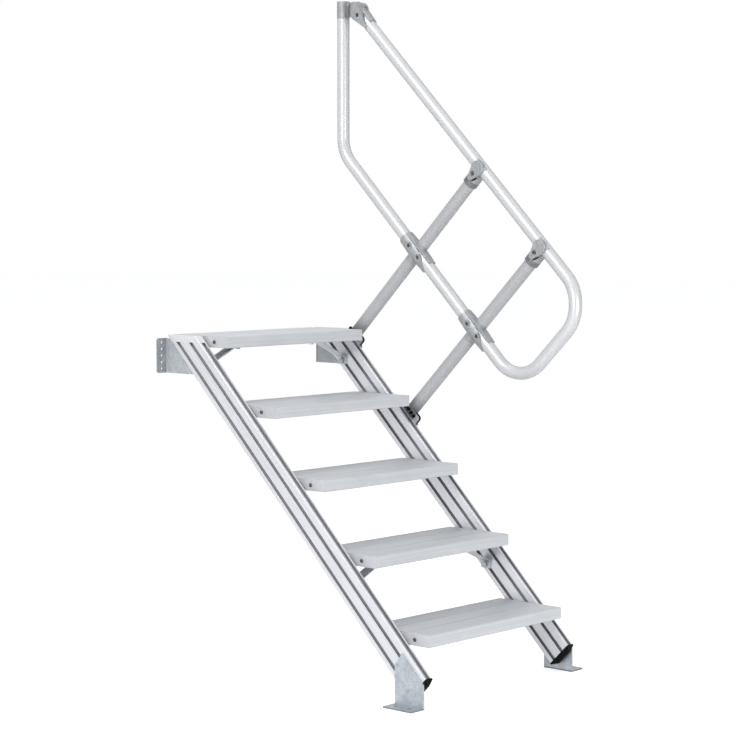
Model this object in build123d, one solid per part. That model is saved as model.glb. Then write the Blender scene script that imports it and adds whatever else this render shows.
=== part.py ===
from build123d import *
import os
from math import atan2, cos, radians, sin, tan

# Bolted aluminium stair with one hairpin handrail, millimetres, +Z up.
# The flight climbs towards +Y. Both stringers run at one slope, and every piece
# that follows them is placed by s, along the slope, and n, square to it.

# Flight
TREADS = 5
RISE = 200.0
GOING = 200.0
TREAD_WIDTH = 600.0
TREAD_DEPTH = 235.0
TREAD_HEIGHT = 35.0

# Stringer extrusion
STRINGER_DEPTH = 88.0
STRINGER_THICK = 28.0
STRINGER_REAR = -17.0
SIDE_GAP = 10.0
SLOT_PITCH = 40.0
SLOT_EDGE = 20.0
SLOT_MOUTH = 11.0
SLOT_LIP = 2.0
SLOT_FLOOR = 17.0
SLOT_DEPTH = 9.5
EDGE_MOUTH = 14.0
EDGE_FLOOR = 18.0
EDGE_DEPTH = 6.0
END_S = 49.5
END_CAP = 5.0
CAP_OVERHANG = 2.0
CAP_DOME = 9.0
CAP_DOME_INSET = 14.0
CAP_DOME_NARROW = 8.0
TOP_CAP = 20.0
CORNER = 2.0

# Tread extrusion and its end casting
TREAD_WALL = 2.5
TREAD_CHAMBERS = 5
TREAD_GROOVE = 3.0
TREAD_GROOVE_DEPTH = 1.2
TREAD_GROOVES = (0.36, 0.68)
TREAD_RADIUS = 3.0
END_PLATE = 4.0
PAD_Y = (102.0, 186.0)
PAD_Z = 3.0

# Knee braces under the treads that carry them
BRACED = (2, 5)
BRACE_THICK = 4.0
BRACE_Y = (76.0, 112.0)
BRACE_LEG_END = 80.0
BRACE_LEG_TOP = 57.0
BRACE_FLAT_START = 120.0
BRACE_FLAT_END = 168.0
BRACE_BEND = 16.0

# Foot brackets
FOOT_THICK = 5.0
FOOT_FLANGE = 50.0
FOOT_Y = (-12.0, 92.0)
FOOT_TOP = 148.0
FOOT_SHOULDER = 113.0
FOOT_NOSE = 70.0
FOOT_HOLE = 11.0
FOOT_HOLES_Y = (14.0, 66.0)

# Wall brackets
WALL_THICK = 5.0
WALL_FLANGE = 34.0
WALL_GAP = 21.0
WALL_DROP = 10.0
WALL_HEIGHT = 106.0
WALL_HOLE = 9.0
WALL_HOLES = 5
WALL_PITCH = 20.0
WALL_HOLE_LINE = 15.0
WALL_CORNER = 8.0
WALL_CUT = 12.0

# Handrail, with heights square to the slope
TUBE = 40.0
TUBE_WALL = 2.5
RAIL_GAP = 2.0
RAIL_BEND = 110.0
HAND_HEIGHT = 813.0
KNEE_HEIGHT = 446.0
UPRIGHT_TO_WALL = 98.0
UPRIGHT_DROP = 88.0
RAIL_FRONT_Y = -1.0
LOOP_FALL = 101.2
HAND_STOP = 98.0
POST_S = (980.0, 1319.0)
POST_BOTTOM = 8.0
POST_SETBACK = 46.0

# Cast saddles that seat the posts on the knee rail
SADDLE_LENGTH = 132.0
SADDLE_BARREL = 48.0
SADDLE_WALL = 7.0
SADDLE_TIP = 4.5
SADDLE_LAP = (-132.0, 38.0)
SADDLE_TIP_DROP = 14.0
SADDLE_CLEAR = 1.5
SHOULDER = 38.0
SPIGOT = 22.0
SPIGOT_CLEAR = 0.3
BOLT_SPACING = 53.0
BOLT_LIFT = 4.0
BOLT_BOSS = 11.0
BOLT_BOSS_RISE = 0.5
BOLT_SEAT = 6.5
BOLT_SINK = 4.0

# Cast tees between the posts and the hand rail
TEE_BAND = 44.0
TEE_BAND_WALL = 4.0
TEE_OPEN = (58.0, 160.0)
TEE_STEM_WALL = 4.0
TEE_REACH = 66.0
TEE_BORE = 26.0
LEAF_FACE = 27.5
LEAF_TOP = 23.0
LEAF_TIP = 7.0
LEAF_END = 52.0
LEAF_EDGE = 2.0
TEE_BOLT = 23.0
TEE_SEAT = 8.0
TEE_SLIT = 4.5
TEE_SLIT_FLOOR = 13.0

# Cast corner between the upright and the hand rail
CORNER_HEIGHT = 54.0
CORNER_LAND = 0.8
CORNER_WALL = 8.0
CORNER_TIP = 4.0
CORNER_SLEEVE = 68.0
CORNER_LAP = (-118.0, 46.0)
CHEEK_FACE = 30.0
CHEEK_BACK = 18.0
CHEEK_RADIUS = 25.5
CHEEK_TIP = 4.5
CHEEK_END = 78.0
CHEEK_LIFT = 2.5
CHEEK_TURN = 5.0
CHEEK_SINK = 6.5
NECK_WIDTH = 12.0
NECK_DROP = 4.0
NECK_HEIGHT = 40.0
CORNER_BOLT = 23.0
CORNER_TOP_BOLT = 13.0

# Post feet on the stringer's outer face
POST_PLATE = 8.0
POST_PLATE_LENGTH = 104.0
POST_PLATE_TOP = 96.0
POST_BLOCK_LENGTH = 72.0
POST_BLOCK_TOP = 45.0
POST_BLOCK_WALL = 6.0
POST_CORNER = 6.0

# Derived
SLOPE = atan2(RISE, GOING)
C, S = cos(SLOPE), sin(SLOPE)
INNER = TREAD_WIDTH / 2 + SIDE_GAP
OUTER = INNER + STRINGER_THICK
STRINGER_FRONT = STRINGER_REAR + STRINGER_DEPTH
TOP_Z = TREADS * RISE
FAR = 4 * TOP_Z
FOOT_X = OUTER + FOOT_THICK / 2 + FOOT_FLANGE / 2
FOOT_MID = (FOOT_Y[0] + FOOT_Y[1]) / 2
SHIFT = Vector(FOOT_X, -FOOT_MID, 0)
RAIL_R = TUBE / 2
RAIL_X = OUTER + RAIL_GAP + RAIL_R
RAIL_TURN_Z = (RAIL_FRONT_Y * S + HAND_HEIGHT) / C
RAIL_LOOP_S = RAIL_FRONT_Y * C + (RAIL_TURN_Z - LOOP_FALL) * S
WALL_TOP = TOP_Z - WALL_DROP
WALL_Y = (WALL_TOP * C - STRINGER_REAR) / S + WALL_GAP
UPRIGHT_Y = WALL_Y - UPRIGHT_TO_WALL
UPRIGHT_TOP = (UPRIGHT_Y * S + HAND_HEIGHT) / C - UPRIGHT_DROP
HAND_END_S = (UPRIGHT_Y + HAND_HEIGHT * S) / C - HAND_STOP


def yz(s, n):
    """Point of the side view from its slope coordinates."""
    return (s * C - n * S, s * S + n * C)


def across(x, s=0.0, n=0.0):
    """Plane square to the slope; sketch x is n and sketch y is X."""
    y, z = yz(s, n)
    return Plane(origin=(x, y, z), x_dir=(0, -S, C), z_dir=(0, C, S))


def side(x):
    """Side view plane at x; sketch x is Y and sketch y is Z, facing +X."""
    return Plane(origin=(x, 0, 0), x_dir=(0, 1, 0), z_dir=(1, 0, 0))


def slope_side(x, s, n):
    """Side view plane laid along the slope; sketch x is s and sketch y is n, facing +X."""
    y, z = yz(s, n)
    return Plane(origin=(x, y, z), x_dir=(0, C, S), z_dir=(1, 0, 0))


def edge_y(z, n):
    """Y where the line at height n over the slope reaches z."""
    return (z * C - n) / S


def edge_z(y, n):
    """Z where the line at height n over the slope reaches y."""
    return (y * S + n) / C


def box(x0, x1, y0, y1, z0, z1):
    return Pos((x0 + x1) / 2, (y0 + y1) / 2, (z0 + z1) / 2) * Box(x1 - x0, y1 - y0, z1 - z0)


def slab(points, x0, x1):
    """Side-view outline given thickness from x0 to x1."""
    return extrude(side(min(x0, x1)) * make_face(Polyline(*points, close=True)), amount=abs(x1 - x0))


def rod(a, b, radius):
    """Round bar between two points."""
    a, b = Vector(*a), Vector(*b)
    return extrude(Plane(origin=a, z_dir=b - a) * Circle(radius), amount=(b - a).length)


def at(x, s, n):
    y, z = yz(s, n)
    return (x, y, z)


# Stringer section with side slots, edge slots and weight-saving chambers
def stringer_section():
    mid = (STRINGER_REAR + STRINGER_FRONT) / 2
    face = Pos(mid, 0) * RectangleRounded(STRINGER_DEPTH, STRINGER_THICK, CORNER)
    half = STRINGER_THICK / 2
    slots = [STRINGER_REAR + SLOT_EDGE, STRINGER_REAR + SLOT_EDGE + SLOT_PITCH]
    for n in slots:
        for side_sign in (-1, 1):
            face -= Pos(n, side_sign * (half - SLOT_LIP / 2)) * Rectangle(SLOT_MOUTH, SLOT_LIP)
            deep = SLOT_DEPTH - SLOT_LIP
            face -= Pos(n, side_sign * (half - SLOT_LIP - deep / 2)) * Rectangle(SLOT_FLOOR, deep)
    for edge, inward in ((STRINGER_REAR, 1), (STRINGER_FRONT, -1)):
        face -= Pos(edge + inward * SLOT_LIP / 2, 0) * Rectangle(SLOT_LIP, EDGE_MOUTH)
        middle = (SLOT_LIP + EDGE_DEPTH) / 2
        face -= Pos(edge + inward * middle, 0) * Rectangle(EDGE_DEPTH - SLOT_LIP, EDGE_FLOOR)
    face -= Pos(sum(slots) / 2, 0) * RectangleRounded(SLOT_PITCH - SLOT_FLOOR - 4, STRINGER_THICK - 5, 2)
    return face


def above(z):
    return box(-FAR, FAR, -FAR, FAR, z, z + FAR)


def stringer(sign):
    x = sign * (INNER + OUTER) / 2
    bar = extrude(across(x, END_S) * stringer_section(), amount=FAR)
    return bar - above(TOP_Z - TOP_CAP)


def plain_section(more=0.0, narrower=0.0):
    mid = (STRINGER_REAR + STRINGER_FRONT) / 2
    return Pos(mid, 0) * RectangleRounded(
        STRINGER_DEPTH + 2 * more, STRINGER_THICK - 2 * narrower, CORNER)


# Moulded cap: a flange over the bar's end and a tapered dome below it
def end_cap(sign):
    x = sign * (INNER + OUTER) / 2
    s = END_S - END_CAP
    flange = extrude(across(x, s) * plain_section(CAP_OVERHANG), amount=END_CAP)
    dome = loft([across(x, s - CAP_DOME) * plain_section(-CAP_DOME_INSET, CAP_DOME_NARROW).face(),
                 across(x, s) * plain_section().face()])
    return flange + dome


def top_cap(sign):
    x = sign * (INNER + OUTER) / 2
    bar = extrude(across(x, END_S) * plain_section(), amount=FAR)
    return bar & box(-FAR, FAR, -FAR, FAR, TOP_Z - TOP_CAP, TOP_Z)


# Treads
def tread(k):
    y0, z1 = (k - 1) * GOING, k * RISE
    length = TREAD_WIDTH - 2 * END_PLATE
    mid_y, mid_z = y0 + TREAD_DEPTH / 2, z1 - TREAD_HEIGHT / 2
    face = Pos(mid_y, mid_z) * RectangleRounded(TREAD_DEPTH, TREAD_HEIGHT, TREAD_RADIUS)
    cell = (TREAD_DEPTH - TREAD_WALL * (TREAD_CHAMBERS + 1)) / TREAD_CHAMBERS
    for i in range(TREAD_CHAMBERS):
        y = y0 + TREAD_WALL + cell / 2 + i * (cell + TREAD_WALL)
        face -= Pos(y, mid_z - TREAD_GROOVE_DEPTH / 2) * RectangleRounded(
            cell, TREAD_HEIGHT - 2 * TREAD_WALL - TREAD_GROOVE_DEPTH, 1.5)
    for share in TREAD_GROOVES:
        face -= Pos(y0 + share * TREAD_DEPTH, z1) * Rectangle(TREAD_GROOVE, 2 * TREAD_GROOVE_DEPTH)
    return extrude(side(-length / 2) * face, amount=length)


def tread_end(k, sign):
    y0, z1 = (k - 1) * GOING, k * RISE
    outer = TREAD_WIDTH / 2
    inner = outer - END_PLATE
    x0 = min(sign * inner, sign * outer)
    face = Pos(y0 + TREAD_DEPTH / 2, z1 - TREAD_HEIGHT / 2) * RectangleRounded(
        TREAD_DEPTH, TREAD_HEIGHT, TREAD_RADIUS)
    plate = extrude(side(x0) * face, amount=END_PLATE)
    a, b = sorted((sign * outer, sign * INNER))
    pad = box(a, b, y0 + PAD_Y[0], y0 + PAD_Y[1], z1 - TREAD_HEIGHT + PAD_Z, z1 - PAD_Z)
    return plate + pad


# Knee brace: a strap bent from the stringer's inner face to the tread's underside
def brace(k, sign):
    y0, z1 = (k - 1) * GOING, k * RISE - TREAD_HEIGHT
    x = INNER - BRACE_THICK / 2
    z = z1 - BRACE_THICK / 2
    points = [(x, z1 - BRACE_LEG_END), (x, z1 - BRACE_LEG_TOP),
              (x - BRACE_FLAT_START, z), (x - BRACE_FLAT_END, z)]
    line = FilletPolyline(*[(sign * a, b) for a, b in points], radius=BRACE_BEND)
    plane = Plane(origin=(0, y0 + BRACE_Y[1], 0), x_dir=(1, 0, 0), z_dir=(0, -1, 0))
    strip = trace(line, line_width=BRACE_THICK)
    bar = extrude(plane * strip, amount=BRACE_Y[1] - BRACE_Y[0])
    return bar & box(-INNER, INNER, -FAR, FAR, -FAR, z1)


# Brackets
def foot_bracket(sign):
    a, b = OUTER, OUTER + FOOT_THICK
    y0, y1 = FOOT_Y
    peak = y0 + (FOOT_TOP - FOOT_NOSE) * C / S
    web = slab([(y0, 0), (y1, 0), (y1, FOOT_SHOULDER), (peak, FOOT_TOP),
                (y0, FOOT_NOSE)], sign * a, sign * b)
    x0, x1 = sorted((sign * a, sign * (a + FOOT_THICK + FOOT_FLANGE)))
    piece = web + box(x0, x1, y0, y1, 0, FOOT_THICK)
    for y in FOOT_HOLES_Y:
        x = sign * (a + FOOT_THICK + FOOT_FLANGE / 2)
        piece -= Pos(x, y, 0) * Cylinder(FOOT_HOLE / 2, 4 * FOOT_THICK)
    return piece


def wall_bracket(sign):
    z0, z1 = WALL_TOP - WALL_HEIGHT, WALL_TOP
    x0, x1 = sorted((sign * (OUTER - WALL_THICK), sign * OUTER))
    web = slab([(WALL_Y, z0), (WALL_Y, z1), (edge_y(z1, STRINGER_REAR) + WALL_CUT, z1),
                (edge_y(z1 - WALL_CUT, STRINGER_REAR), z1 - WALL_CUT),
                (edge_y(z0, STRINGER_REAR), z0)], x0, x1)
    a, b = sorted((sign * (OUTER - WALL_THICK), sign * (OUTER + WALL_FLANGE)))
    flange = box(a, b, WALL_Y - WALL_THICK, WALL_Y, z0, z1)
    corners = flange.edges().filter_by(Axis.Y).sort_by(Axis.X, reverse=sign > 0)[0:2]
    piece = web + fillet(corners, WALL_CORNER)
    x, y = sign * (OUTER + WALL_HOLE_LINE), WALL_Y - WALL_THICK / 2
    for i in range(WALL_HOLES):
        z = (z0 + z1) / 2 + (i - (WALL_HOLES - 1) / 2) * WALL_PITCH
        piece -= Pos(x, y, z) * Rot(90, 0, 0) * Cylinder(WALL_HOLE / 2, 4 * WALL_THICK)
    under = STRINGER_REAR - WALL_THICK
    s0, s1 = (z0 - under * C) / S, (z1 - STRINGER_REAR * C) / S
    leaf_x = sign * (OUTER - STRINGER_THICK / 2)
    return piece + extrude(across(leaf_x, s0) * Pos(STRINGER_REAR - WALL_THICK / 2, 0)
                           * Rectangle(WALL_THICK, STRINGER_THICK), amount=s1 - s0)


# Handrail: one bent tube from the top corner down round the front loop and up to the upright
def rail_corners():
    """Corners of the centre line, from the hand end to the top of the upright."""
    loop_z = (RAIL_LOOP_S - RAIL_FRONT_Y * C) / S
    return [yz(HAND_END_S, HAND_HEIGHT), (RAIL_FRONT_Y, edge_z(RAIL_FRONT_Y, HAND_HEIGHT)),
            (RAIL_FRONT_Y, loop_z), yz(RAIL_LOOP_S, KNEE_HEIGHT),
            (UPRIGHT_Y, edge_z(UPRIGHT_Y, KNEE_HEIGHT)), (UPRIGHT_Y, UPRIGHT_TOP)]


def handrail():
    path = side(RAIL_X) * FilletPolyline(*rail_corners(), radius=RAIL_BEND)
    start = Plane(origin=path @ 0, z_dir=path % 0)
    return sweep(start * (Circle(RAIL_R) - Circle(RAIL_R - TUBE_WALL)), path=path)


def post(s, n0, n1):
    a, b = at(RAIL_X, s, n0), at(RAIL_X, s, n1)
    return rod(a, b, RAIL_R) - rod(a, b, RAIL_R - TUBE_WALL)


# Castings are drawn on a rail's axis: local Z along the rail, local X towards the bolts
# and local Y away from the post
def cast_plane(s, n, facing):
    y, z = yz(s, n)
    return Plane(origin=(RAIL_X, y, z), x_dir=(facing, 0, 0), z_dir=(0, C, S))


def barrel(half, middle, wall, tip):
    """Round body about local Z, straight in the middle and tapered to its ends."""
    outline = Polyline((0, -half), (RAIL_R + tip, -half), (RAIL_R + wall, -middle),
                       (RAIL_R + wall, middle), (RAIL_R + tip, half), (0, half), close=True)
    return revolve(Plane.XZ * make_face(outline), axis=Axis.Z)


def wedge(start, end, length):
    """Pie slice round local Z, from one angle to another."""
    a, b = [(TUBE * 2 * cos(radians(t)), TUBE * 2 * sin(radians(t))) for t in (start, end)]
    outline = Line((0, 0), a) + CenterArc((0, 0), TUBE * 2, start, end - start) + Line(b, (0, 0))
    return extrude(make_face(outline), amount=length, both=True)


def lip(reach, wall):
    """Bar across the rail whose round top edge trims the bolt side of a casting."""
    top = (RAIL_R + wall) * sin(radians(SADDLE_LAP[1]))
    rise = top + SADDLE_TIP_DROP
    radius = (reach ** 2 + rise ** 2) / (2 * rise)
    return Pos(0, top - radius, 0) * Rot(0, 90, 0) * Cylinder(radius, 4 * TUBE)


def bolt_boss(wall):
    """Flat round seat on the bolt side, and the counterbore in it."""
    top = RAIL_R + wall + BOLT_BOSS_RISE
    low = RAIL_R + wall / 2
    boss = Pos((top + low) / 2, 0, 0) * Rot(0, 90, 0) * Cylinder(BOLT_BOSS, top - low)
    seat = Pos(top, 0, 0) * Rot(0, 90, 0) * Cylinder(BOLT_SEAT, 2 * BOLT_SINK)
    return boss, seat


def down(y0, y1, radius):
    """Round bar along local Y between two distances from the rail's axis, towards the post."""
    return Pos(0, -(y0 + y1) / 2, 0) * Rot(90, 0, 0) * Cylinder(radius, y1 - y0)


def leaf(big, small, length):
    """Teardrop with its round top on the origin and its tip at -length."""
    low = length - small
    turn = (big - small) / low
    wide = (1 - turn ** 2) ** 0.5
    sides = Polyline((big * wide, -big * turn), (small * wide, -low - small * turn),
                     (-small * wide, -low - small * turn), (-big * wide, -big * turn), close=True)
    return Circle(big) + Pos(0, -low) * Circle(small) + make_face(sides)


def saddle():
    half = SADDLE_LENGTH / 2
    body = barrel(half, SADDLE_BARREL / 2, SADDLE_WALL, SADDLE_TIP)
    body -= wedge(SADDLE_LAP[1], SADDLE_LAP[0] + 360, SADDLE_LENGTH)
    body &= lip(half, SADDLE_WALL) + Pos(0, 0, half) * Box(8 * TUBE, 8 * TUBE, 2 * half)
    body += down(RAIL_R * tan(radians(SADDLE_LAP[1])) + SADDLE_CLEAR, SHOULDER, RAIL_R)
    body += down(SHOULDER, SHOULDER + SPIGOT, RAIL_R - TUBE_WALL - SPIGOT_CLEAR)
    boss, seat = bolt_boss(SADDLE_WALL)
    for z in (-BOLT_SPACING / 2, BOLT_SPACING / 2):
        place = Pos(0, BOLT_LIFT, z)
        body = body + place * boss - place * seat
    return body - Cylinder(RAIL_R, 2 * SADDLE_LENGTH)


def cross_clamp(s, facing):
    return cast_plane(s, KNEE_HEIGHT, facing) * saddle()


def tee_clamp(s):
    stem = RAIL_R + TEE_STEM_WALL
    facing = Plane(origin=(0, 0, 0), x_dir=(0, 0, -1), z_dir=(1, 0, 0))
    tongue = extrude(facing * leaf(LEAF_TOP, LEAF_TIP, LEAF_END), amount=LEAF_FACE)
    room = extrude(facing * leaf(LEAF_TOP + TEE_SLIT, LEAF_TIP + TEE_SLIT, LEAF_END + TEE_SLIT),
                   amount=LEAF_FACE)
    under = Pos(TEE_SLIT_FLOOR + TUBE, -TEE_REACH, 0) * Box(2 * TUBE, 2 * TEE_REACH, 2 * TEE_REACH)
    slit = (room - tongue) & under
    tongue = fillet(tongue.faces().sort_by(Axis.X)[-1].edges(), LEAF_EDGE)
    body = Cylinder(RAIL_R + TEE_BAND_WALL, TEE_BAND) + down(0, TEE_REACH, stem) - slit + tongue
    body -= Cylinder(RAIL_R, 2 * TEE_BAND)
    body -= wedge(TEE_OPEN[0], TEE_OPEN[1], TEE_BAND)
    body -= down(TEE_BORE, 2 * TEE_REACH, RAIL_R)
    body -= Pos(LEAF_FACE, -TEE_BOLT, 0) * Rot(0, 90, 0) * Cylinder(TEE_SEAT, 2 * BOLT_SINK)
    return cast_plane(s, HAND_HEIGHT, -1) * body


def corner_clamp():
    arm = Pos(0, 0, -CORNER_SLEEVE / 2) * Cone(
        RAIL_R + CORNER_TIP, RAIL_R + CORNER_WALL, CORNER_SLEEVE)
    arm -= wedge(CORNER_LAP[0], CORNER_LAP[1], CORNER_SLEEVE)
    hub = Pos(0, CHEEK_LIFT, CHEEK_LIFT)
    middle = Pos((CHEEK_FACE - CHEEK_BACK) / 2, 0, 0)
    knuckle = hub * middle * Rot(0, 90, 0) * Cylinder(CHEEK_RADIUS, CHEEK_FACE + CHEEK_BACK)
    cheek = hub * extrude(Plane.YZ * Rot(0, 0, -CHEEK_TURN)
                          * leaf(CHEEK_RADIUS, CHEEK_TIP, CHEEK_END), amount=CHEEK_FACE)
    thin = RAIL_R + CORNER_TIP
    taper = Polyline((0, -CHEEK_END), (thin, -CHEEK_END), (CHEEK_FACE, -CHEEK_RADIUS),
                     (CHEEK_FACE, CHEEK_END), (0, CHEEK_END), close=True)
    cheek &= extrude(Plane.XZ * make_face(taper), amount=CHEEK_END, both=True)
    body = arm + knuckle + cheek
    boss, seat = bolt_boss(CORNER_WALL)
    above_rail = Pos(0, 0, -CORNER_TOP_BOLT) * Rot(0, 0, 90)
    body = body + above_rail * boss - above_rail * seat
    reach = CHEEK_FACE - CHEEK_SINK + TUBE
    body -= Pos(reach, CHEEK_LIFT, -CORNER_BOLT) * Rot(0, 90, 0) * Cylinder(BOLT_SEAT, 2 * TUBE)
    body = cast_plane(HAND_END_S, HAND_HEIGHT, -1) * body
    top = UPRIGHT_TOP + CORNER_HEIGHT
    body += rod((RAIL_X, UPRIGHT_Y, UPRIGHT_TOP), (RAIL_X, UPRIGHT_Y, top), RAIL_R + CORNER_LAND)
    body += rod((RAIL_X, UPRIGHT_Y, UPRIGHT_TOP - SPIGOT), (RAIL_X, UPRIGHT_Y, UPRIGHT_TOP),
                RAIL_R - TUBE_WALL - SPIGOT_CLEAR)
    hand_y = yz(HAND_END_S, HAND_HEIGHT)[0]
    body += box(RAIL_X - NECK_WIDTH / 2, RAIL_X + NECK_WIDTH / 2, hand_y, UPRIGHT_Y,
                top - NECK_DROP - NECK_HEIGHT, top - NECK_DROP)
    return body - rod(at(RAIL_X, 0, HAND_HEIGHT), at(RAIL_X, HAND_END_S, HAND_HEIGHT), RAIL_R)


def post_plate(s):
    mid = (POST_BOTTOM + POST_PLATE_TOP) / 2
    plate = extrude(slope_side(OUTER, s, mid) * RectangleRounded(
        POST_PLATE_LENGTH, POST_PLATE_TOP - POST_BOTTOM, POST_CORNER), amount=POST_PLATE)
    return plate - rod(at(RAIL_X, s, -TUBE), at(RAIL_X, s, HAND_HEIGHT), RAIL_R)


def post_foot(s):
    mid = (POST_BOTTOM + POST_BLOCK_TOP) / 2
    block = extrude(slope_side(OUTER + POST_PLATE, s, mid) * RectangleRounded(
        POST_BLOCK_LENGTH, POST_BLOCK_TOP - POST_BOTTOM, POST_CORNER),
        amount=RAIL_GAP + TUBE + POST_BLOCK_WALL - POST_PLATE)
    return block - rod(at(RAIL_X, s, -TUBE), at(RAIL_X, s, HAND_HEIGHT), RAIL_R)


# Names, pieces and colours
SILVER = Color(0.80, 0.81, 0.83)
CAST = Color(0.56, 0.58, 0.60)
ZINC = Color(0.66, 0.70, 0.74)
BLACK = Color(0.03, 0.03, 0.03)
pieces = {}
for word, sign in (("left", -1), ("right", 1)):
    pieces[f"{word}_stringer"] = (stringer(sign), SILVER)
    pieces[f"{word}_end_cap"] = (end_cap(sign), BLACK)
    pieces[f"{word}_top_cap"] = (top_cap(sign), SILVER)
    pieces[f"{word}_foot_bracket"] = (foot_bracket(sign), ZINC)
    pieces[f"{word}_wall_bracket"] = (wall_bracket(sign), ZINC)
    for k in BRACED:
        pieces[f"tread_{k}_brace_{word}"] = (brace(k, sign), ZINC)
for k in range(1, TREADS + 1):
    pieces[f"tread_{k}"] = (tread(k), SILVER)
    for word, sign in (("left", -1), ("right", 1)):
        pieces[f"tread_{k}_end_{word}"] = (tread_end(k, sign), CAST)
pieces["handrail_tube"] = (handrail(), SILVER)
pieces["top_corner_clamp"] = (corner_clamp(), CAST)
for word, s in zip(("lower", "upper"), POST_S):
    pieces[f"{word}_post_base"] = (post(s, POST_BOTTOM, KNEE_HEIGHT - SHOULDER), SILVER)
    pieces[f"{word}_post_head"] = (
        post(s, KNEE_HEIGHT + SHOULDER, HAND_HEIGHT - POST_SETBACK), SILVER)
    pieces[f"{word}_cross_clamp"] = (cross_clamp(s, -1), CAST)
    pieces[f"{word}_head_saddle"] = (cross_clamp(s, 1), CAST)
    pieces[f"{word}_tee_clamp"] = (tee_clamp(s), CAST)
    pieces[f"{word}_post_foot"] = (post_foot(s), CAST)
    pieces[f"{word}_post_plate"] = (post_plate(s), SILVER)

os.makedirs("parts", exist_ok=True)
for name, (solid, colour) in pieces.items():
    placed = Pos(*SHIFT) * solid
    placed.label, placed.color = name, colour
    export_step(placed, f"parts/{name}.step")
    bounds = placed.bounding_box()
    print(name, round(placed.volume / 1000, 1), len(placed.solids()),
          [round(v, 1) for v in (*bounds.min, *bounds.max)])
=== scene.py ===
from math import radians, sqrt

import bmesh
import bpy
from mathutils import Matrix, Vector


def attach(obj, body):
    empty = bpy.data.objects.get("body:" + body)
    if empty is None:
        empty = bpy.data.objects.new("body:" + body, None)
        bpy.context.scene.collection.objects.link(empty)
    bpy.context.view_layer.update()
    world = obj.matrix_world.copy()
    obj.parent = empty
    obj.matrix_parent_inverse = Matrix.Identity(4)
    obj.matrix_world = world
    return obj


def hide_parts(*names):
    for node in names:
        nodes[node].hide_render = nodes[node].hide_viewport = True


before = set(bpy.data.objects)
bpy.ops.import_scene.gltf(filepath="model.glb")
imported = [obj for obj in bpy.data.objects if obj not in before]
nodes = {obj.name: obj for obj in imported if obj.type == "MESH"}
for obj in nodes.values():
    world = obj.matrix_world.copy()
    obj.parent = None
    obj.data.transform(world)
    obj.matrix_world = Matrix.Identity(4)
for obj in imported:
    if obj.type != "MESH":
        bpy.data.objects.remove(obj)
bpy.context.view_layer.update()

scene = bpy.context.scene


# The photographer's stand: a long lens at chest height, left of the stair's foot and
# looking up the flight.
VIEW_FROM = Vector((-4.3725, -3.8315, 1.3387))
VIEW_TURN = -47.81
VIEW_DROP = 3.88
VIEW_LENS = 104.28
SENSOR_WIDTH = 36
FAR_SIGHT = 100

camera = bpy.data.objects.new("photo_camera", bpy.data.cameras.new("photo_camera"))
camera.location = VIEW_FROM
camera.rotation_euler = (radians(90 - VIEW_DROP), 0, radians(VIEW_TURN))
camera.data.lens = VIEW_LENS
camera.data.sensor_width = SENSOR_WIDTH
camera.data.clip_end = FAR_SIGHT
scene.collection.objects.link(camera)
scene.camera = camera
scene.view_settings.view_transform = "Standard"


# The room: a white studio with a faintly polished pale floor. The floor and the air look white
# to the lens and in polished metal, and the floor keeps the stair's soft shadow and reflection.
ROOM_LIGHT = 0.34
ROOM_TINT = (0.97, 0.985, 1.0, 1)
FLOOR_HALF = 40
FLOOR_SHADE = 0.8
FLOOR_LIFT = 0.77
FLOOR_POLISH = 0.16
FLOOR_BLUR = 0.14


def white_to_lens(tree):
    """A value of 1 for rays of the lens, of reflections and of glass, and 0 for the others."""
    path = tree.nodes.new("ShaderNodeLightPath")
    seen = path.outputs["Is Camera Ray"]
    for ray in ("Is Glossy Ray", "Is Transmission Ray"):
        either = tree.nodes.new("ShaderNodeMath")
        either.operation = "MAXIMUM"
        tree.links.new(seen, either.inputs[0])
        tree.links.new(path.outputs[ray], either.inputs[1])
        seen = either.outputs["Value"]
    return seen


room = bpy.data.worlds.new("white_room")
scene.world = room
room.use_nodes = True
tree = room.node_tree
tree.nodes.clear()
plain = tree.nodes.new("ShaderNodeBackground")
plain.inputs["Color"].default_value = ROOM_TINT
plain.inputs["Strength"].default_value = ROOM_LIGHT
white = tree.nodes.new("ShaderNodeBackground")
white.inputs["Color"].default_value = (1, 1, 1, 1)
choice = tree.nodes.new("ShaderNodeMixShader")
tree.links.new(white_to_lens(tree), choice.inputs["Fac"])
tree.links.new(plain.outputs["Background"], choice.inputs[1])
tree.links.new(white.outputs["Background"], choice.inputs[2])
room_end = tree.nodes.new("ShaderNodeOutputWorld")
tree.links.new(choice.outputs["Shader"], room_end.inputs["Surface"])

white_floor = bpy.data.materials.new("white_floor")
white_floor.use_nodes = True
tree = white_floor.node_tree
tree.nodes.clear()
matt = tree.nodes.new("ShaderNodeBsdfDiffuse")
matt.inputs["Color"].default_value = (FLOOR_SHADE, FLOOR_SHADE, FLOOR_SHADE, 1)
lift = tree.nodes.new("ShaderNodeMath")
lift.operation = "MULTIPLY"
lift.inputs[1].default_value = FLOOR_LIFT
tree.links.new(white_to_lens(tree), lift.inputs[0])
glow = tree.nodes.new("ShaderNodeEmission")
tree.links.new(lift.outputs["Value"], glow.inputs["Strength"])
lit = tree.nodes.new("ShaderNodeAddShader")
tree.links.new(matt.outputs["BSDF"], lit.inputs[0])
tree.links.new(glow.outputs["Emission"], lit.inputs[1])
shine = tree.nodes.new("ShaderNodeBsdfGlossy")
shine.inputs["Roughness"].default_value = FLOOR_BLUR
polish = tree.nodes.new("ShaderNodeMixShader")
polish.inputs["Fac"].default_value = FLOOR_POLISH
tree.links.new(lit.outputs["Shader"], polish.inputs[1])
tree.links.new(shine.outputs["BSDF"], polish.inputs[2])
floor_end = tree.nodes.new("ShaderNodeOutputMaterial")
tree.links.new(polish.outputs["Shader"], floor_end.inputs["Surface"])

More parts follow.
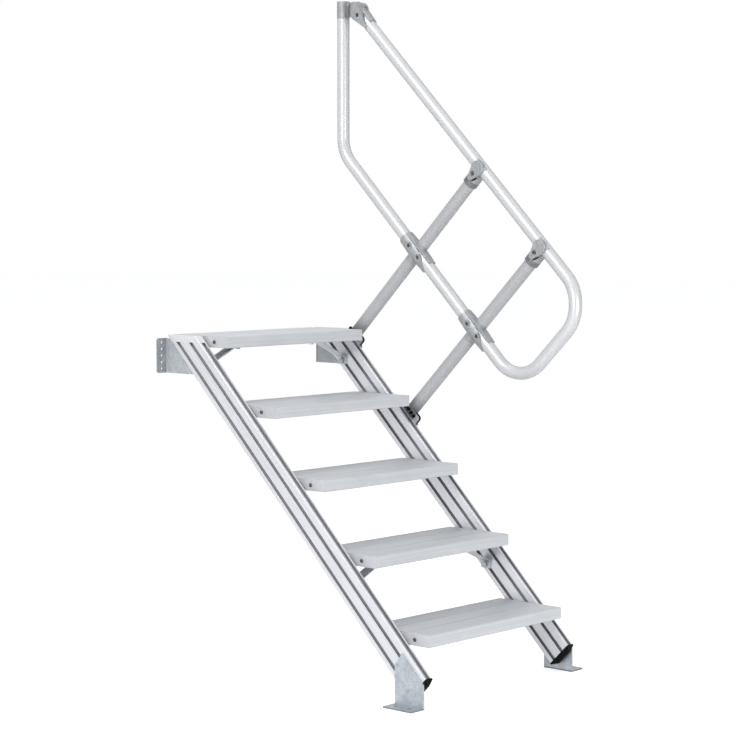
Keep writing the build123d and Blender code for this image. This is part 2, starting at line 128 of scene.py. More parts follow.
floor_mesh = bpy.data.meshes.new("studio_floor")
floor_mesh.from_pydata([(-FLOOR_HALF, -FLOOR_HALF, 0), (FLOOR_HALF, -FLOOR_HALF, 0),
                        (FLOOR_HALF, FLOOR_HALF, 0), (-FLOOR_HALF, FLOOR_HALF, 0)],
                       [], [(0, 1, 2, 3)])
floor_mesh.materials.append(white_floor)
floor = bpy.data.objects.new("studio_floor", floor_mesh)
scene.collection.objects.link(floor)


# Soft lamps, each as (name, place, size, watts): two on the left, one low and one high, that put
# the white streaks on the tubes, one in front of the flight and one above its head.
LAMPS = (("low_softbox", (-5.1, -1.0, 1.5), 2.2, 95),
         ("high_softbox", (-3.7, 0.3, 5.3), 3.2, 165),
         ("front_softbox", (-0.4, -4.4, 0.9), 2.0, 98),
         ("top_softbox", (1.0, 1.6, 5.0), 2.4, 40))
AIM = Vector((0.4, 0.4, 0.8))
for name, place, size, watts in LAMPS:
    lamp = bpy.data.objects.new(name, bpy.data.lights.new(name, "AREA"))
    lamp.data.shape = "DISK"
    lamp.data.size = size
    lamp.data.energy = watts
    lamp.location = place
    lamp.rotation_euler = (AIM - Vector(place)).to_track_quat("-Z", "Y").to_euler()
    lamp.visible_camera = False
    scene.collection.objects.link(lamp)


# Stringers: two slotted aluminium extrusions, clear anodised satin, cut square at the foot and
# level at the top. The die leaves fine straight lines along the bar, seen as a silky grain. Little
# light gets into the slots, and painted shade darkens their insides. Places count from the floor
# under the lowest tread's nose.
NOSE = Vector((0.3655, -0.040, 0))
HALF_ROOT = sqrt(0.5)
ACROSS = Vector((1, 0, 0))
OFF_SLOPE = Vector((0, -HALF_ROOT, HALF_ROOT))
STRINGER_X = 0.324
SIDE_SLOT_MIDDLE = 0.023
SIDE_SLOT_OFF = 0.020
SIDE_SLOT_HALF = 0.0088
SIDE_SLOT_MOUTH = 0.0134
SIDE_SLOT_PAINTED_SHADE = 0.56
EDGE_SLOT_MIDDLE = 0.027
EDGE_SLOT_OFF = 0.0405
EDGE_SLOT_HALF = 0.0028
EDGE_SLOT_WIDE = 0.0093
EDGE_SLOT_PAINTED_SHADE = 0.46


def finish(name, metallic, roughness, edge_tint):
    """A plain metal or plastic, ready for its colour and grain."""
    made = bpy.data.materials.new(name)
    made.use_nodes = True
    shader = made.node_tree.nodes["Principled BSDF"]
    shader.inputs["Metallic"].default_value = metallic
    shader.inputs["Roughness"].default_value = roughness
    shader.inputs["Specular Tint"].default_value = (edge_tint, edge_tint, edge_tint, 1)
    return made


def grain(tree, scale, turn=0, detail=2.0):
    """Noise on Object coordinates, drawn out by its scale along each axis after a turn about X."""
    place = tree.nodes.new("ShaderNodeTexCoord")
    lay = tree.nodes.new("ShaderNodeMapping")
    lay.inputs["Rotation"].default_value = (radians(turn), 0, 0)
    stretch = tree.nodes.new("ShaderNodeMapping")
    stretch.inputs["Scale"].default_value = scale
    noise = tree.nodes.new("ShaderNodeTexNoise")
    noise.inputs["Scale"].default_value = 1
    noise.inputs["Detail"].default_value = detail
    tree.links.new(place.outputs["Object"], lay.inputs["Vector"])
    tree.links.new(lay.outputs["Vector"], stretch.inputs["Vector"])
    tree.links.new(stretch.outputs["Vector"], noise.inputs["Vector"])
    return noise.outputs["Fac"]


def two_tones(tree, fac, deep, pale, low=0.35, high=0.65):
    """A ramp from a deep to a pale colour over part of a pattern's range."""
    ramp = tree.nodes.new("ShaderNodeValToRGB")
    ramp.color_ramp.elements[0].position = low
    ramp.color_ramp.elements[0].color = (*deep, 1)
    ramp.color_ramp.elements[1].position = high
    ramp.color_ramp.elements[1].color = (*pale, 1)
    tree.links.new(fac, ramp.inputs["Fac"])
    return ramp.outputs["Color"]


def cloud(tree, base, scale, depth):
    """Multiplies a colour by broad soft patches, for the unevenness of a real finish."""
    patches = grain(tree, (scale, scale, scale), detail=3.0)
    shade = two_tones(tree, patches, (1 - depth,) * 3, (1, 1, 1), 0.3, 0.7)
    both = tree.nodes.new("ShaderNodeMix")
    both.data_type = "RGBA"
    both.blend_type = "MULTIPLY"
    both.inputs["Factor"].default_value = 1
    tree.links.new(base, both.inputs[6])
    tree.links.new(shade, both.inputs[7])
    return both.outputs[2]


def colour(tree, tone):
    """Gives the shader its colour."""
    tree.links.new(tone, tree.nodes["Principled BSDF"].inputs["Base Color"])


def roughen(tree, fac, middle, spread):
    """Roughness that follows a pattern, by a spread to either side of its middle."""
    span = tree.nodes.new("ShaderNodeMapRange")
    span.inputs["To Min"].default_value = middle - spread
    span.inputs["To Max"].default_value = middle + spread
    tree.links.new(fac, span.inputs["Value"])
    tree.links.new(span.outputs["Result"], tree.nodes["Principled BSDF"].inputs["Roughness"])


def relief(tree, fac, strength, depth):
    """Fine height, in metres, from a pattern."""
    bump = tree.nodes.new("ShaderNodeBump")
    bump.inputs["Strength"].default_value = strength
    bump.inputs["Distance"].default_value = depth
    tree.links.new(fac, bump.inputs["Height"])
    tree.links.new(bump.outputs["Normal"], tree.nodes["Principled BSDF"].inputs["Normal"])


def drawn_metal(name, pale, deep, die_lines, metallic, roughness, edge_tint, turn=0):
    """Extruded and anodised aluminium, with die lines along one direction."""
    made = finish(name, metallic, roughness, edge_tint)
    tree = made.node_tree
    lines = grain(tree, die_lines, turn)
    colour(tree, cloud(tree, two_tones(tree, lines, deep, pale), scale=9, depth=0.05))
    roughen(tree, lines, roughness, spread=0.05)
    relief(tree, lines, strength=0.12, depth=0.0002)
    return made


def dress(material, *names):
    """Puts a material on CAD nodes."""
    for node in names:
        mesh = nodes[node].data
        mesh.materials.clear()
        mesh.materials.append(material)


def off_by(tree, along, start, *offsets):
    """Distance from a plane square to a direction, at a start past the lowest nose. Each offset
    sets two planes in place of one, that far to either side of it."""
    place = tree.nodes.new("ShaderNodeTexCoord")
    ahead = tree.nodes.new("ShaderNodeVectorMath")
    ahead.operation = "DOT_PRODUCT"
    ahead.inputs[1].default_value = along
    tree.links.new(place.outputs["Object"], ahead.inputs[0])
    value = ahead.outputs["Value"]
    for offset in (start + along.dot(NOSE), *offsets):
        less = tree.nodes.new("ShaderNodeMath")
        less.operation = "SUBTRACT"
        less.inputs[1].default_value = offset
        fold = tree.nodes.new("ShaderNodeMath")
        fold.operation = "ABSOLUTE"
        tree.links.new(value, less.inputs[0])
        tree.links.new(less.outputs["Value"], fold.inputs[0])
        value = fold.outputs["Value"]
    return value


def where(tree, *limits):
    """1 where each value of the (value, limit) pairs is below its limit, and 0 elsewhere."""
    inside = []
    for value, limit in limits:
        below = tree.nodes.new("ShaderNodeMath")
        below.operation = "LESS_THAN"
        below.inputs[1].default_value = limit
        tree.links.new(value, below.inputs[0])
        inside.append(below.outputs["Value"])
    mask = inside[0]
    for other in inside[1:]:
        both = tree.nodes.new("ShaderNodeMath")
        both.operation = "MULTIPLY"
        tree.links.new(mask, both.inputs[0])
        tree.links.new(other, both.inputs[1])
        mask = both.outputs["Value"]
    return mask


def paint_shade(tree, mask, share):
    """Paints shade: brings the shader's colour down to a share of itself where a mask is 1."""
    base = tree.nodes["Principled BSDF"].inputs["Base Color"].links[0].from_socket
    shade = tree.nodes.new("ShaderNodeMapRange")
    shade.inputs["To Min"].default_value = 1
    shade.inputs["To Max"].default_value = share
    tint = tree.nodes.new("ShaderNodeVectorMath")
    tint.operation = "SCALE"
    tree.links.new(mask, shade.inputs["Value"])
    tree.links.new(base, tint.inputs[0])
    tree.links.new(shade.outputs["Result"], tint.inputs["Scale"])
    colour(tree, tint.outputs["Vector"])


stringer_metal = drawn_metal("stringer_anodised", pale=(0.70, 0.71, 0.745),
                             deep=(0.62, 0.63, 0.665), die_lines=(500, 2.5, 500), turn=-45,
                             metallic=0.45, roughness=0.38, edge_tint=0.9)
tree = stringer_metal.node_tree
from_web = off_by(tree, ACROSS, 0, STRINGER_X)
side_slot = off_by(tree, OFF_SLOPE, SIDE_SLOT_MIDDLE, SIDE_SLOT_OFF)
edge_slot = off_by(tree, OFF_SLOPE, EDGE_SLOT_MIDDLE, EDGE_SLOT_OFF)
# Painted shade inside the side slots and the edge slot.
paint_shade(tree, where(tree, (side_slot, SIDE_SLOT_HALF), (from_web, SIDE_SLOT_MOUTH)), SIDE_SLOT_PAINTED_SHADE)
paint_shade(tree, where(tree, (edge_slot, EDGE_SLOT_HALF), (from_web, EDGE_SLOT_WIDE)), EDGE_SLOT_PAINTED_SHADE)
dress(stringer_metal, "left_stringer", "right_stringer")


# End caps: black moulded plastic plugs pressed into the stringers' lower ends. Top caps: short
# plain aluminium blocks that close the upper ends beside the last tread.
PLASTIC_SHEEN = 0.06


def moulded(name, pale, deep, metallic, roughness, edge_tint, skin, detail, strength, depth,
            spread=0, clouds=None):
    """A casting or a moulding, with the fine even skin that its mould leaves."""
    made = finish(name, metallic, roughness, edge_tint)
    tree = made.node_tree
    sand = grain(tree, (skin, skin, skin), detail=detail)
    tone = two_tones(tree, sand, deep, pale)
    colour(tree, cloud(tree, tone, *clouds) if clouds else tone)
    if spread:
        roughen(tree, sand, roughness, spread)
    relief(tree, sand, strength, depth)
    return made


black_plastic = moulded("black_moulded_plastic", pale=(0.006, 0.006, 0.007),
                        deep=(0.003, 0.003, 0.0035), metallic=0, roughness=0.6, edge_tint=1.0,
                        skin=900, detail=2.0, strength=0.15, depth=0.0002)
shader = black_plastic.node_tree.nodes["Principled BSDF"]
shader.inputs["Specular IOR Level"].default_value = PLASTIC_SHEEN
dress(black_plastic, "left_end_cap", "right_end_cap")

cap_metal = drawn_metal("cap_satin", pale=(0.74, 0.75, 0.77), deep=(0.66, 0.67, 0.69),
                        die_lines=(60, 400, 400), metallic=0.4, roughness=0.42, edge_tint=0.9)
dress(cap_metal, "left_top_cap", "right_top_cap")


# Brackets and braces: steel plate and strap, cut, bent and hot-dip galvanised. The zinc cools in
# grey-blue spangles a few millimetres across, over cloudier patches. Painted shade darkens the
# lowest few millimetres of the foot brackets, where their flanges lie, and the flanges against
# the wall.
BACKWARD = Vector((0, 1, 0))
UPRIGHT = Vector((0, 0, 1))
SPANGLE = 260
FOOT_SHADED_HEIGHT = 0.0048
FOOT_PAINTED_SHADE = 0.5
WALL_PLANE = 1.035
WALL_SHADED_DEPTH = 0.0065
WALL_FLANGE_PAINTED_SHADE = 0.68


def galvanised(name, pale, deep, metallic, roughness):
    """Hot-dip zinc, with a spangle for each cell and its own tone and gloss."""
    made = finish(name, metallic, roughness, edge_tint=0.8)
    tree = made.node_tree
    place = tree.nodes.new("ShaderNodeTexCoord")
    flakes = tree.nodes.new("ShaderNodeTexVoronoi")
    flakes.inputs["Scale"].default_value = SPANGLE
    tree.links.new(place.outputs["Object"], flakes.inputs["Vector"])
    cell = tree.nodes.new("ShaderNodeSeparateColor")
    tree.links.new(flakes.outputs["Color"], cell.inputs["Color"])
    spangles = two_tones(tree, cell.outputs["Red"], deep, pale, 0.0, 1.0)
    colour(tree, cloud(tree, spangles, scale=38, depth=0.22))
    roughen(tree, cell.outputs["Green"], roughness, spread=0.08)
    relief(tree, grain(tree, (300, 300, 300)), strength=0.2, depth=0.0003)
    return made


foot_zinc = galvanised("foot_zinc", pale=(0.53, 0.57, 0.61), deep=(0.41, 0.45, 0.49),
                       metallic=0.45, roughness=0.42)
tree = foot_zinc.node_tree
# Painted shade over the lowest few millimetres of the foot brackets.
paint_shade(tree, where(tree, (off_by(tree, UPRIGHT, 0), FOOT_SHADED_HEIGHT)), FOOT_PAINTED_SHADE)
dress(foot_zinc, "left_foot_bracket", "right_foot_bracket")

wall_zinc = galvanised("wall_zinc", pale=(0.52, 0.55, 0.58), deep=(0.40, 0.43, 0.46),
                       metallic=0.25, roughness=0.45)
tree = wall_zinc.node_tree
# Painted shade on the flanges against the wall.
paint_shade(tree, where(tree, (off_by(tree, BACKWARD, WALL_PLANE), WALL_SHADED_DEPTH)), WALL_FLANGE_PAINTED_SHADE)
dress(wall_zinc, "left_wall_bracket", "right_wall_bracket")

strap_zinc = galvanised("strap_zinc", pale=(0.52, 0.55, 0.58), deep=(0.40, 0.43, 0.46),
                        metallic=0.6, roughness=0.38)
dress(strap_zinc, *[node for node in nodes if "_brace_" in node])


# Hexagon bolts with washers, zinc-plated steel: two small ones through each foot bracket into
# the stringer, and on each brace one through the leg into the stringer's slot and one up into
# the tread.
RISE = 0.2
GOING = 0.2
TREADS = 5
TREAD_HEIGHT = 0.035
FOOT_FACE = 0.343
FOOT_BOLTS = ((0.0466, 0.0465), (0.0851, 0.1148))
BRACED = (2, 5)
BRACE_MIDDLE = 0.094
BRACE_LEG_FACE = 0.306
BRACE_LEG_DROP = 0.068
BRACE_FLAT_X = 0.163
BRACE_THICK = 0.004
HEX_BOLT = {"Sides": 6, "Head Radius": 0.0072, "Head Height": 0.0053, "Chamfer": 0.0008,
            "Socket Radius": 0.005, "Socket Depth": 0.0, "Washer Radius": 0.0088,
            "Washer Height": 0.0016}
FOOT_BOLT = dict(HEX_BOLT, **{"Head Radius": 0.005, "Head Height": 0.003,
                              "Washer Radius": 0.0058, "Washer Height": 0.0006})
WASHER_SIDES = 24
CHAMFER_LEAN = 1.6
FLAT_SHARE = 0.01
SOCKET_TAPER = 0.97


def spot(x, y, z):
    """A place from the floor under the middle of the lowest nose, in metres."""
    return NOSE + Vector((x, y, z))


def nose_of(k):
    """How far back and how high the nose of a tread lies."""
    return (k - 1) * GOING, k * RISE


def bolt_head_tree():
    """Puts a washer and a head, raised by steps from a round or hexagon bar, on each point."""
    tree = bpy.data.node_groups.new("bolt_heads", "GeometryNodeTree")
    face = tree.interface
    face.new_socket("Geometry", in_out="INPUT", socket_type="NodeSocketGeometry")
    face.new_socket("Sides", in_out="INPUT", socket_type="NodeSocketInt")
    for label in ("Head Radius", "Head Height", "Chamfer", "Socket Radius", "Socket Depth",
                  "Washer Radius", "Washer Height"):
        face.new_socket(label, in_out="INPUT", socket_type="NodeSocketFloat")
    face.new_socket("Material", in_out="INPUT", socket_type="NodeSocketMaterial")
    face.new_socket("Geometry", in_out="OUTPUT", socket_type="NodeSocketGeometry")
    ask = tree.nodes.new("NodeGroupInput").outputs
    end = tree.nodes.new("NodeGroupOutput")

    def feed(source, socket):
        """Links a source to a socket, or sets the socket where the source is a number."""
        if isinstance(source, (int, float)):
            socket.default_value = source
        else:
            tree.links.new(source, socket)

    def reckon(kind, first, second):
        """One step of arithmetic on two sources."""
        maths = tree.nodes.new("ShaderNodeMath")
        maths.operation = kind
        feed(first, maths.inputs[0])
        feed(second, maths.inputs[1])
        return maths.outputs["Value"]

    def bar(sides, radius, height, base):
        """A closed round or six-sided bar from base upwards, with the choice of its top face."""
        shape = tree.nodes.new("GeometryNodeMeshCylinder")
        feed(sides, shape.inputs["Vertices"])
        feed(radius, shape.inputs["Radius"])
        feed(height, shape.inputs["Depth"])
        middle = tree.nodes.new("ShaderNodeCombineXYZ")
        feed(reckon("ADD", base, reckon("MULTIPLY", height, 0.5)), middle.inputs["Z"])
        raised = tree.nodes.new("GeometryNodeTransform")
        feed(shape.outputs["Mesh"], raised.inputs["Geometry"])
        feed(middle.outputs["Vector"], raised.inputs["Translation"])
        return raised.outputs["Geometry"], shape.outputs["Top"]

    def step(shape, top, height, ratio):
        """Raises the top face by a height and scales it."""
        push = tree.nodes.new("GeometryNodeExtrudeMesh")
        push.mode = "FACES"
        push.inputs["Individual"].default_value = False
        feed(shape, push.inputs["Mesh"])
        feed(top, push.inputs["Selection"])
        feed(height, push.inputs["Offset Scale"])
        sized = tree.nodes.new("GeometryNodeScaleElements")
        sized.domain = "FACE"
        feed(push.outputs["Mesh"], sized.inputs["Geometry"])
        feed(push.outputs["Top"], sized.inputs["Selection"])
        feed(ratio, sized.inputs["Scale"])
        return sized.outputs["Geometry"], push.outputs["Top"]

    washer = bar(WASHER_SIDES, ask["Washer Radius"], ask["Washer Height"], 0.0)[0]
    straight = reckon("SUBTRACT", ask["Head Height"], ask["Chamfer"])
    head, top = bar(ask["Sides"], ask["Head Radius"], straight, ask["Washer Height"])
    lean = reckon("MULTIPLY", ask["Chamfer"], CHAMFER_LEAN)
    crown = reckon("SUBTRACT", ask["Head Radius"], lean)
    head, top = step(head, top, ask["Chamfer"], reckon("DIVIDE", crown, ask["Head Radius"]))
    flat = reckon("MULTIPLY", ask["Chamfer"], FLAT_SHARE)
    head, top = step(head, top, flat, reckon("DIVIDE", ask["Socket Radius"], crown))
    head, top = step(head, top, reckon("MULTIPLY", ask["Socket Depth"], -1), SOCKET_TAPER)
    both = tree.nodes.new("GeometryNodeJoinGeometry")
    feed(washer, both.inputs["Geometry"])
    feed(head, both.inputs["Geometry"])
    facing = tree.nodes.new("GeometryNodeInputNamedAttribute")
    facing.data_type = "FLOAT_VECTOR"
    facing.inputs["Name"].default_value = "facing"
    turn = tree.nodes.new("FunctionNodeAlignRotationToVector")
    turn.axis = "Z"
    feed(facing.outputs["Attribute"], turn.inputs["Vector"])
    put = tree.nodes.new("GeometryNodeInstanceOnPoints")
    feed(ask["Geometry"], put.inputs["Points"])
    feed(both.outputs["Geometry"], put.inputs["Instance"])
    feed(turn.outputs["Rotation"], put.inputs["Rotation"])
    real = tree.nodes.new("GeometryNodeRealizeInstances")
    feed(put.outputs["Instances"], real.inputs["Geometry"])
    coat = tree.nodes.new("GeometryNodeSetMaterial")
    feed(real.outputs["Geometry"], coat.inputs["Geometry"])
    feed(ask["Material"], coat.inputs["Material"])
    feed(coat.outputs["Geometry"], end.inputs["Geometry"])
    return tree


bolt_tree = bolt_head_tree()


def bolts(name, places, sizes, material):
    """Bolt heads at (place, direction) pairs, as one plain mesh."""
    points = bpy.data.meshes.new(name + "_points")
    points.from_pydata([place for place, way in places], [], [])
    facing = points.attributes.new("facing", "FLOAT_VECTOR", "POINT")
    facing.data.foreach_set("vector", [part for place, way in places for part in way])
    guide = bpy.data.objects.new(name + "_points", points)
    scene.collection.objects.link(guide)
    build = guide.modifiers.new("bolt_heads", "NODES")
    build.node_group = bolt_tree
    given = dict(sizes, Material=material)
    for item in bolt_tree.interface.items_tree:
        if item.in_out == "INPUT" and item.name in given:
            build[item.identifier] = given[item.name]
    solid = bpy.data.meshes.new_from_object(
        guide.evaluated_get(bpy.context.evaluated_depsgraph_get()))
    guide.modifiers.remove(build)
    bpy.data.objects.remove(guide)
    solid.name = name
    piece = bpy.data.objects.new(name, solid)
    scene.collection.objects.link(piece)
    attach(piece, "root")


bolt_zinc = galvanised("bolt_zinc", pale=(0.50, 0.52, 0.54), deep=(0.34, 0.36, 0.38),
                       metallic=0.7, roughness=0.35)
for side, outward in (("left", -ACROSS), ("right", ACROSS)):
    bolts(f"{side}_foot_bolts",
          [(spot(0, y, z) + FOOT_FACE * outward, outward) for y, z in FOOT_BOLTS],
          FOOT_BOLT, foot_zinc)
    brace_bolts = []
    for k in BRACED:
        back, top = nose_of(k)
        under = spot(0, back + BRACE_MIDDLE, top - TREAD_HEIGHT)
        brace_bolts += [
            (under + BRACE_LEG_FACE * outward - BRACE_LEG_DROP * UPRIGHT, -outward),
            (under + BRACE_FLAT_X * outward - BRACE_THICK * UPRIGHT, -UPRIGHT)]
    bolts(f"{side}_brace_bolts", brace_bolts, HEX_BOLT, bolt_zinc)


# Treads: five-chamber aluminium extrusions 600 mm wide with two grooves along the walking face,
# and a die-cast plate over each end, held by a dark socket screw.
TREAD_END = 0.3
TREAD_SCREW_BACK = 0.055
TREAD_SCREW_DROP = 0.018
SOCKET_SCREW = {"Sides": 24, "Head Radius": 0.0052, "Head Height": 0.003, "Chamfer": 0.0008,
                "Socket Radius": 0.0024, "Socket Depth": 0.002, "Washer Radius": 0.0056,
                "Washer Height": 0.0004}

tread_metal = drawn_metal("tread_anodised", pale=(0.62, 0.64, 0.67), deep=(0.54, 0.56, 0.59),
                          die_lines=(1.5, 420, 420), metallic=0.35, roughness=0.45,
                          edge_tint=0.85)
dress(tread_metal, *[f"tread_{k}" for k in range(1, TREADS + 1)])

end_metal = moulded("end_casting", pale=(0.60, 0.61, 0.64), deep=(0.52, 0.53, 0.56),
                    metallic=0.35, roughness=0.45, edge_tint=0.85, skin=700, detail=4.0,
                    strength=0.15, depth=0.0003, clouds=(40, 0.06))
dress(end_metal, *[f"tread_{k}_end_{side}" for k in range(1, TREADS + 1)
                   for side in ("left", "right")])

dark_steel = galvanised("dark_steel", pale=(0.13, 0.135, 0.14), deep=(0.09, 0.095, 0.10),
                        metallic=0.6, roughness=0.4)
for side, outward in (("left", -ACROSS), ("right", ACROSS)):
    tread_screws = []
    for k in range(1, TREADS + 1):
        back, top = nose_of(k)
        place = spot(0, back + TREAD_SCREW_BACK, top - TREAD_SCREW_DROP)
        tread_screws.append((place + TREAD_END * outward, outward))
    bolts(f"{side}_tread_screws", tread_screws, SOCKET_SCREW, dark_steel)


# Handrail: one 40 mm aluminium tube, bent in a press round the front loop and at the upright, and
# satin anodised. The posts are cut from the same tube; their darker colour is painted shade, and
# more painted shade darkens them near their feet, where the stair shades them.
STRINGER_FRONT = 0.071
POST_SHADED = 0.092
POST_CLEAR = 0.148
POST_FOOT_PAINTED_SHADE = 0.4
TUBE_SHEEN = 0.08


def tube_metal(name, pale, deep, metallic, roughness):
    """Anodised tube, with a close silky grain and a soft gloss."""
    made = finish(name, metallic, roughness, edge_tint=0.3)
    tree = made.node_tree
    tree.nodes["Principled BSDF"].inputs["Specular IOR Level"].default_value = TUBE_SHEEN
    silk = grain(tree, (160, 160, 160))
    colour(tree, cloud(tree, two_tones(tree, silk, deep, pale), scale=12, depth=0.04))
    roughen(tree, silk, roughness, spread=0.008)
    return made


rail_metal = tube_metal("rail_anodised", pale=(0.61, 0.615, 0.63), deep=(0.60, 0.605, 0.62),
                        metallic=0.22, roughness=0.27)
dress(rail_metal, "handrail_tube")

# Painted shade: the rail's own tube, given a darker colour.
post_shaded_metal = tube_metal("post_anodised_painted_shade", pale=(0.46, 0.47, 0.485), deep=(0.42, 0.43, 0.445),
                        metallic=0.05, roughness=0.38)
tree = post_shaded_metal.node_tree
# Painted shade on the posts near their feet.
post_foot_shade = tree.nodes.new("ShaderNodeMapRange")
post_foot_shade.inputs["From Min"].default_value = POST_CLEAR - STRINGER_FRONT
post_foot_shade.inputs["From Max"].default_value = POST_SHADED - STRINGER_FRONT
tree.links.new(off_by(tree, OFF_SLOPE, STRINGER_FRONT), post_foot_shade.inputs["Value"])
paint_shade(tree, post_foot_shade.outputs["Result"], POST_FOOT_PAINTED_SHADE)
dress(post_shaded_metal, *[node for node in nodes if "_post_base" in node or "_post_head" in node])


# Clamps: die-cast aluminium saddles, tees and corner, plain as they leave the mould, mid grey
# with a fine sandy skin. Dark socket screws close them round the tubes. Painted shade darkens
# the tees' collars and the gap beside the corner's sleeve.
UP_SLOPE = Vector((0, HALF_ROOT, HALF_ROOT))
RAIL_X = 0.360
POSTS = (0.980, 1.319)
KNEE_HEIGHT = 0.446
CLAMP_FACE = 0.0235
SADDLE_SCREW_OFF = 0.0265
SADDLE_SCREW_LIFT = 0.004
TEE_SCREW = 0.790
CORNER_SCREW = (2.0172, 0.8155)
CORNER_TOP_SCREW = (2.0272, 0.8375)
CLAMP_SCREW = dict(SOCKET_SCREW, **{"Head Radius": 0.005, "Socket Depth": 0.0015})
TEE_COLLAR = 0.7535
TEE_COLLAR_HALF = 0.0125
TEES_BELOW = 1.8
TEE_COLLAR_PAINTED_SHADE = 0.55
CORNER_GAP = 0.887
CORNER_GAP_HALF = 0.0085
CORNER_MIDDLE = 2.1
CORNER_HALF = 0.15
CORNER_GAP_PAINTED_SHADE = 0.38


def on_slope(x, s, n):
    """A place by its distance up the slope and its height square to it."""
    return NOSE + x * ACROSS + s * UP_SLOPE + n * OFF_SLOPE


cast_metal = moulded("cast_aluminium", pale=(0.43, 0.445, 0.455), deep=(0.33, 0.345, 0.355),
                     metallic=0.45, roughness=0.48, edge_tint=0.8, skin=800, detail=4.0,
                     strength=0.3, depth=0.0004, spread=0.08, clouds=(90, 0.22))
tree = cast_metal.node_tree
tee_collar = off_by(tree, OFF_SLOPE, TEE_COLLAR)
from_floor = off_by(tree, UPRIGHT, 0)
# Painted shade on the tees' collars.
paint_shade(tree, where(tree, (tee_collar, TEE_COLLAR_HALF), (from_floor, TEES_BELOW)), TEE_COLLAR_PAINTED_SHADE)
corner_gap = off_by(tree, BACKWARD, CORNER_GAP)
from_corner = off_by(tree, UPRIGHT, CORNER_MIDDLE)
# Painted shade in the gap beside the corner's sleeve.
paint_shade(tree, where(tree, (corner_gap, CORNER_GAP_HALF), (from_corner, CORNER_HALF)),
     CORNER_GAP_PAINTED_SHADE)
dress(cast_metal, *[node for node in nodes if "_clamp" in node or "_saddle" in node])

clamp_screws = []
for s in POSTS:
    for along in (s - SADDLE_SCREW_OFF, s + SADDLE_SCREW_OFF):
        clamp_screws += [
            (on_slope(RAIL_X - CLAMP_FACE, along, KNEE_HEIGHT + SADDLE_SCREW_LIFT), -ACROSS),
            (on_slope(RAIL_X + CLAMP_FACE, along, KNEE_HEIGHT - SADDLE_SCREW_LIFT), ACROSS)]
    clamp_screws.append((on_slope(RAIL_X - CLAMP_FACE, s, TEE_SCREW), -ACROSS))
clamp_screws += [(on_slope(RAIL_X - CLAMP_FACE, *CORNER_SCREW), -ACROSS),
                 (on_slope(RAIL_X, *CORNER_TOP_SCREW), OFF_SLOPE)]
bolts("clamp_screws", clamp_screws, CLAMP_SCREW, dark_steel)


# Post feet: dark cast blocks that hold the posts on the stringer's outer face, each over a satin
# aluminium plate whose upper corner is cut off slantwise, clear of the treads. Painted shade
# darkens the plates beside the posts.
PLATES_MIDDLE = 1.1475
PLATES_OFF = 0.1695
PLATE_SHADED = 0.031
PLATE_PAINTED_SHADE = 0.35
PLATE_CUT = 0.021
SQUARE_CUT_HEIGHT = 0.05
SLANT_CUT_HEIGHT = 0.074
SLANT = (0.8 * UP_SLOPE + 0.6 * OFF_SLOPE).normalized()
MERGE = 1e-6

foot_iron = moulded("post_foot_casting", pale=(0.18, 0.185, 0.19), deep=(0.12, 0.125, 0.13),
                    metallic=0.45, roughness=0.5, edge_tint=0.8, skin=800, detail=4.0,
                    strength=0.3, depth=0.0004)
dress(foot_iron, "lower_post_foot", "upper_post_foot")

plate_metal = drawn_metal("post_plate_satin", pale=(0.52, 0.53, 0.56), deep=(0.46, 0.47, 0.50),
                          die_lines=(400, 400, 400), metallic=0.35, roughness=0.45,
                          edge_tint=0.85)
tree = plate_metal.node_tree
under_post = off_by(tree, UP_SLOPE, PLATES_MIDDLE, PLATES_OFF)
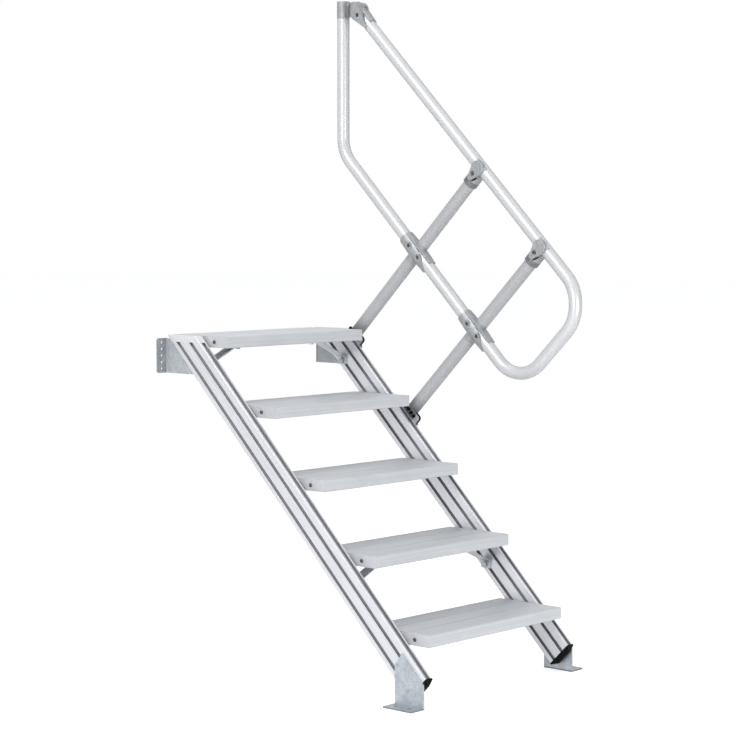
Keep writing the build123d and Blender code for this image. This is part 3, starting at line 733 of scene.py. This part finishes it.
# Painted shade on the plates beside the posts.
paint_shade(tree, where(tree, (under_post, PLATE_SHADED)), PLATE_PAINTED_SHADE)
for s, node in zip(POSTS, ("lower_post_plate", "upper_post_plate")):
    plate = bmesh.new()
    plate.from_mesh(nodes[node].data)
    bmesh.ops.remove_doubles(plate, verts=plate.verts, dist=MERGE)
    for height, way in ((SQUARE_CUT_HEIGHT, UP_SLOPE), (SLANT_CUT_HEIGHT, SLANT)):
        bmesh.ops.bisect_plane(plate, geom=[*plate.verts, *plate.edges, *plate.faces], dist=MERGE,
                               plane_co=on_slope(0, s + PLATE_CUT, height), plane_no=way,
                               clear_outer=True)
        bmesh.ops.holes_fill(plate, edges=[edge for edge in plate.edges if edge.is_boundary])
    bmesh.ops.recalc_face_normals(plate, faces=plate.faces)
    trimmed = bpy.data.meshes.new(node + "_trimmed")
    plate.to_mesh(trimmed)
    plate.free()
    trimmed.materials.clear()
    trimmed.materials.append(plate_metal)
    piece = bpy.data.objects.new(node + "_trimmed", trimmed)
    scene.collection.objects.link(piece)
    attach(piece, "root")
    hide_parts(node)


# Black socket screws stand in a row on each post foot's plate, just above the stringer, and a
# black plastic edging is pressed over the plate's free corner.
FOOT_SCREWS = (-0.030, -0.015, 0.0, 0.013)
FOOT_SCREW_HEIGHT = 0.083
PLATE_FACE = 0.338
FOOT_SCREW = dict(SOCKET_SCREW, **{"Head Radius": 0.0055, "Head Height": 0.005})
EDGING_WALL = 0.0018
EDGING_SIDES = (0.3375, 0.3445)
EDGING_PATH = ((-0.052, 0.070), (-0.052, 0.0895), (-0.0497, 0.0940), (-0.0455, 0.096),
               (-0.030, 0.096))

foot_screws = [(on_slope(PLATE_FACE, s + along, FOOT_SCREW_HEIGHT), -ACROSS)
               for s in POSTS for along in FOOT_SCREWS]
bolts("post_foot_screws", foot_screws, FOOT_SCREW, black_plastic)

corners, faces = [], []
inner, outer = EDGING_SIDES
for s in POSTS:
    first = len(corners)
    for i, (along, n) in enumerate(EDGING_PATH):
        before = Vector(EDGING_PATH[max(i - 1, 0)])
        after = Vector(EDGING_PATH[min(i + 1, len(EDGING_PATH) - 1)])
        way = (after - before).normalized()
        out = Vector((-way.y, way.x)) * EDGING_WALL
        for x, wall in ((inner, 0), (outer, 0), (outer, 1), (inner, 1)):
            corners.append(on_slope(x, s + along + out.x * wall, n + out.y * wall))
    last = len(corners) - 4
    for a in range(first, last, 4):
        faces += [(a + j, a + 4 + j, a + 4 + (j + 1) % 4, a + (j + 1) % 4) for j in range(4)]
    faces += [(first, first + 1, first + 2, first + 3), (last + 3, last + 2, last + 1, last)]
edging_mesh = bpy.data.meshes.new("post_foot_edging")
edging_mesh.from_pydata(corners, [], faces)
edging_mesh.materials.append(black_plastic)
edging = bpy.data.objects.new("post_foot_edging", edging_mesh)
scene.collection.objects.link(edging)
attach(edging, "root")
